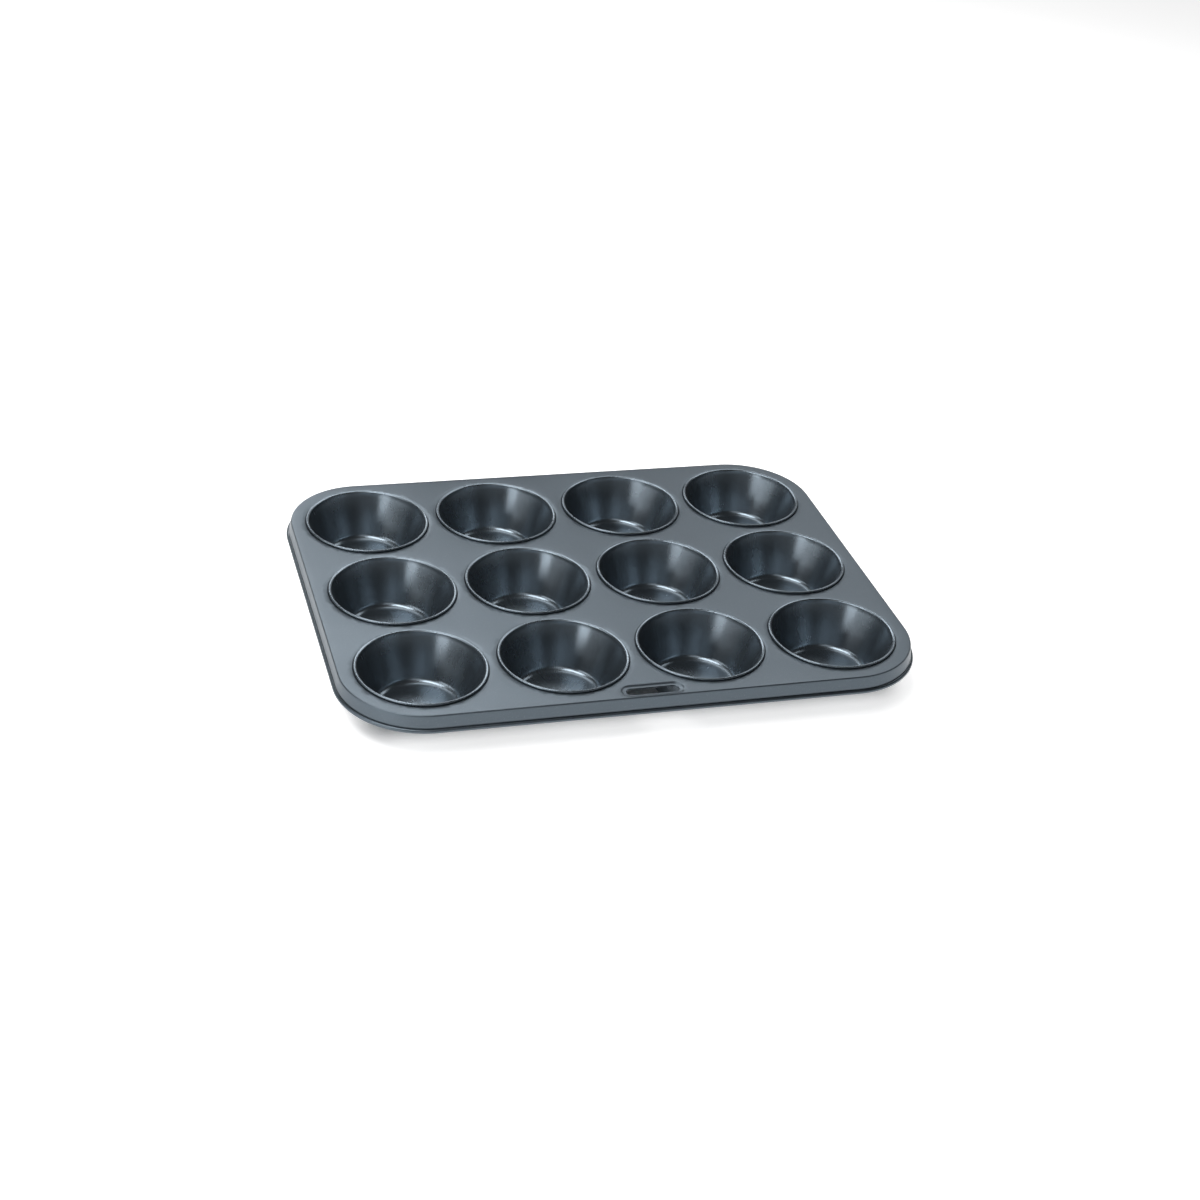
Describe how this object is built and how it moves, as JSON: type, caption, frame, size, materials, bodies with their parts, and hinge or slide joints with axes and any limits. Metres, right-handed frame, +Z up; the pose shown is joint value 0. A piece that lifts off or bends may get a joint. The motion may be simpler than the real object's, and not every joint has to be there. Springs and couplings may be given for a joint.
{
  "type": "muffin tin",
  "caption": "Rectangular non-stick muffin tin: straight-sided round cups crimped into a flat tray with rounded corners, a wired rolled edge and a hanging slot.",
  "frame": {"origin": "middle of the tray's footprint, on the plane the cups stand on", "axes": "+X along the long side to the right, +Y away from the front margin that holds the slot, +Z up"},
  "size_m": [0.3366, 0.2562, 0.028],
  "materials": {
    "tray_coating": "slate blue-grey satin non-stick coating on sheet steel",
    "cup_coating": "the same coating, a little glossier inside the drawn cups",
    "rim_wire_steel": "bare drawn steel wire, closed inside the rolled edge"
  },
  "bodies": {
    "root": {"tray": "tray_coating", "rim_wire": "rim_wire_steel", "cup_r1c1": "cup_coating", "cup_r1c2": "cup_coating", "cup_r1c3": "cup_coating", "cup_r1c4": "cup_coating", "cup_r2c1": "cup_coating", "cup_r2c2": "cup_coating", "cup_r2c3": "cup_coating", "cup_r2c4": "cup_coating", "cup_r3c1": "cup_coating", "cup_r3c2": "cup_coating", "cup_r3c3": "cup_coating", "cup_r3c4": "cup_coating"}
  },
  "joints": []
}
